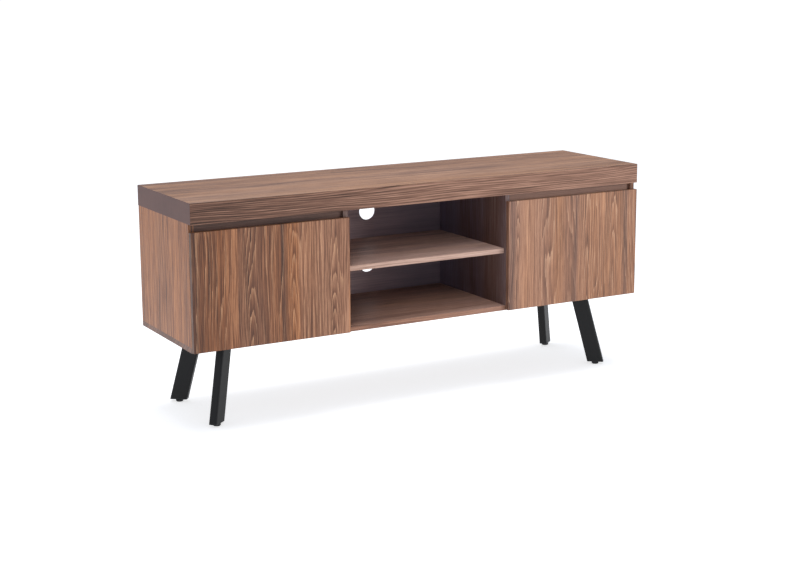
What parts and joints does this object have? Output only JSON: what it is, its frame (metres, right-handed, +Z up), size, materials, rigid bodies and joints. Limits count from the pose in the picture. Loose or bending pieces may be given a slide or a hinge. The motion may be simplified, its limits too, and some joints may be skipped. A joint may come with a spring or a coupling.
{
  "type": "tv stand with doors",
  "caption": "Low walnut-laminate TV stand: thick hollow top, hinged door at each end, open middle bay with a shelf, splayed black steel legs.",
  "frame": {"origin": "on the floor under the middle of the stand's outline: the bottom centre of its bounding box", "axes": "+X to the right seen from the front, +Y to the back, +Z up; the doors face -Y"},
  "size_m": [1.5, 0.4, 0.65],
  "materials": {
    "walnut_top": "walnut laminate, grain along the width, satin",
    "walnut_lower_skin": "walnut laminate, satin",
    "chipboard": "raw chipboard",
    "walnut_top_edge": "dark textured walnut edge band, lines along the width, matt",
    "walnut_top_end": "dark walnut edge band, matt",
    "walnut_side": "walnut laminate, upright grain, satin",
    "walnut_partition": "walnut laminate, upright grain, satin",
    "walnut_bottom": "walnut laminate, grain along the width, satin",
    "walnut_shelf": "walnut laminate, grain along the width, satin",
    "walnut_shelf_edge": "light walnut edge band, satin",
    "walnut_rail": "dark walnut laminate, matt",
    "walnut_back": "walnut printed hardboard, matt",
    "zinc_steel": "zinc plated",
    "nickel_steel": "nickel plated",
    "zinc_casting": "die cast zinc, grey",
    "beech": "raw beech",
    "walnut_door_left": "walnut laminate, upright cathedral grain, satin",
    "walnut_door_right": "walnut laminate, upright cathedral grain, satin",
    "clear_rubber": "clear soft bumper",
    "black_metal": "black powder coat, satin",
    "black_screw": "black phosphated steel",
    "black_plastic": "black moulded plastic"
  },
  "bodies": {
    "carcass": {"top_upper_skin": "walnut_top", "top_lower_skin": "walnut_lower_skin", "top_front_rail": "chipboard", "top_rear_rail": "chipboard", "top_left_end_rail": "chipboard", "top_right_end_rail": "chipboard", "top_ribs": "chipboard", "top_front_band": "walnut_top_edge", "top_rear_band": "walnut_top_edge", "top_left_band": "walnut_top_end", "top_right_band": "walnut_top_end", "left_side_panel": "walnut_side", "right_side_panel": "walnut_side", "left_partition": "walnut_partition", "right_partition": "walnut_partition", "bottom_panel": "walnut_bottom", "side_panel_bands": "walnut_side", "partition_bands": "walnut_partition", "bottom_front_band": "walnut_bottom", "middle_shelf": "walnut_shelf", "middle_shelf_band": "walnut_shelf_edge", "left_cabinet_shelf": "walnut_shelf", "right_cabinet_shelf": "walnut_shelf", "left_finger_rail": "walnut_rail", "right_finger_rail": "walnut_rail", "left_back_panel": "walnut_back", "middle_back_panel": "walnut_back", "right_back_panel": "walnut_back", "back_panel_nails": "zinc_steel", "shelf_pins": "zinc_steel", "cam_locks": "zinc_casting", "cam_bolts": "zinc_steel", "wooden_dowels": "beech", "hinge_mounting_plates": "zinc_steel", "hinge_plate_screws": "zinc_steel", "hinge_arms": "nickel_steel", "front_left_leg_tube": "black_metal", "front_right_leg_tube": "black_metal", "rear_left_leg_tube": "black_metal", "rear_right_leg_tube": "black_metal", "leg_plates": "black_metal", "leg_screws": "black_screw", "leg_end_caps": "black_plastic"},
    "left_door": {"left_door_panel": "walnut_door_left", "left_door_band": "walnut_door_left", "left_hinge_cups": "nickel_steel", "left_cup_screws": "zinc_steel", "left_door_bumpers": "clear_rubber"},
    "right_door": {"right_door_panel": "walnut_door_right", "right_door_band": "walnut_door_right", "right_hinge_cups": "nickel_steel", "right_cup_screws": "zinc_steel", "right_door_bumpers": "clear_rubber"},
    "left_door_links": {"left_hinge_links": "zinc_steel"},
    "right_door_links": {"right_hinge_links": "zinc_steel"},
    "front_left_foot": {"front_left_glide": "black_plastic"},
    "front_right_foot": {"front_right_glide": "black_plastic"},
    "rear_left_foot": {"rear_left_glide": "black_plastic"},
    "rear_right_foot": {"rear_right_glide": "black_plastic"}
  },
  "joints": [
    {"name": "left_door_hinge", "type": "hinge", "parent": "carcass", "child": "left_door", "pos_m": [-0.747, -0.199, 0.403], "axis": [0, 0, -1], "range_deg": [0, 95]},
    {"name": "right_door_hinge", "type": "hinge", "parent": "carcass", "child": "right_door", "pos_m": [0.747, -0.199, 0.403], "axis": [0, 0, 1], "range_deg": [0, 95]},
    {"name": "left_links_slide", "type": "slide", "parent": "carcass", "child": "left_door_links", "axis": [0, -1, 0], "range_m": [0, 0.0268]},
    {"name": "right_links_slide", "type": "slide", "parent": "carcass", "child": "right_door_links", "axis": [0, -1, 0], "range_m": [0, 0.0268]},
    {"name": "front_left_glide_screw", "type": "slide", "parent": "carcass", "child": "front_left_foot", "axis": [0, 0, -1], "range_m": [0, 0.01]},
    {"name": "front_right_glide_screw", "type": "slide", "parent": "carcass", "child": "front_right_foot", "axis": [0, 0, -1], "range_m": [0, 0.01]},
    {"name": "rear_left_glide_screw", "type": "slide", "parent": "carcass", "child": "rear_left_foot", "axis": [0, 0, -1], "range_m": [0, 0.01]},
    {"name": "rear_right_glide_screw", "type": "slide", "parent": "carcass", "child": "rear_right_foot", "axis": [0, 0, -1], "range_m": [0, 0.01]}
  ],
  "couplings": [
    {"joint": "left_links_slide", "follows": "left_door_hinge", "m_per_rad": 0.016043},
    {"joint": "right_links_slide", "follows": "right_door_hinge", "m_per_rad": 0.016043}
  ]
}
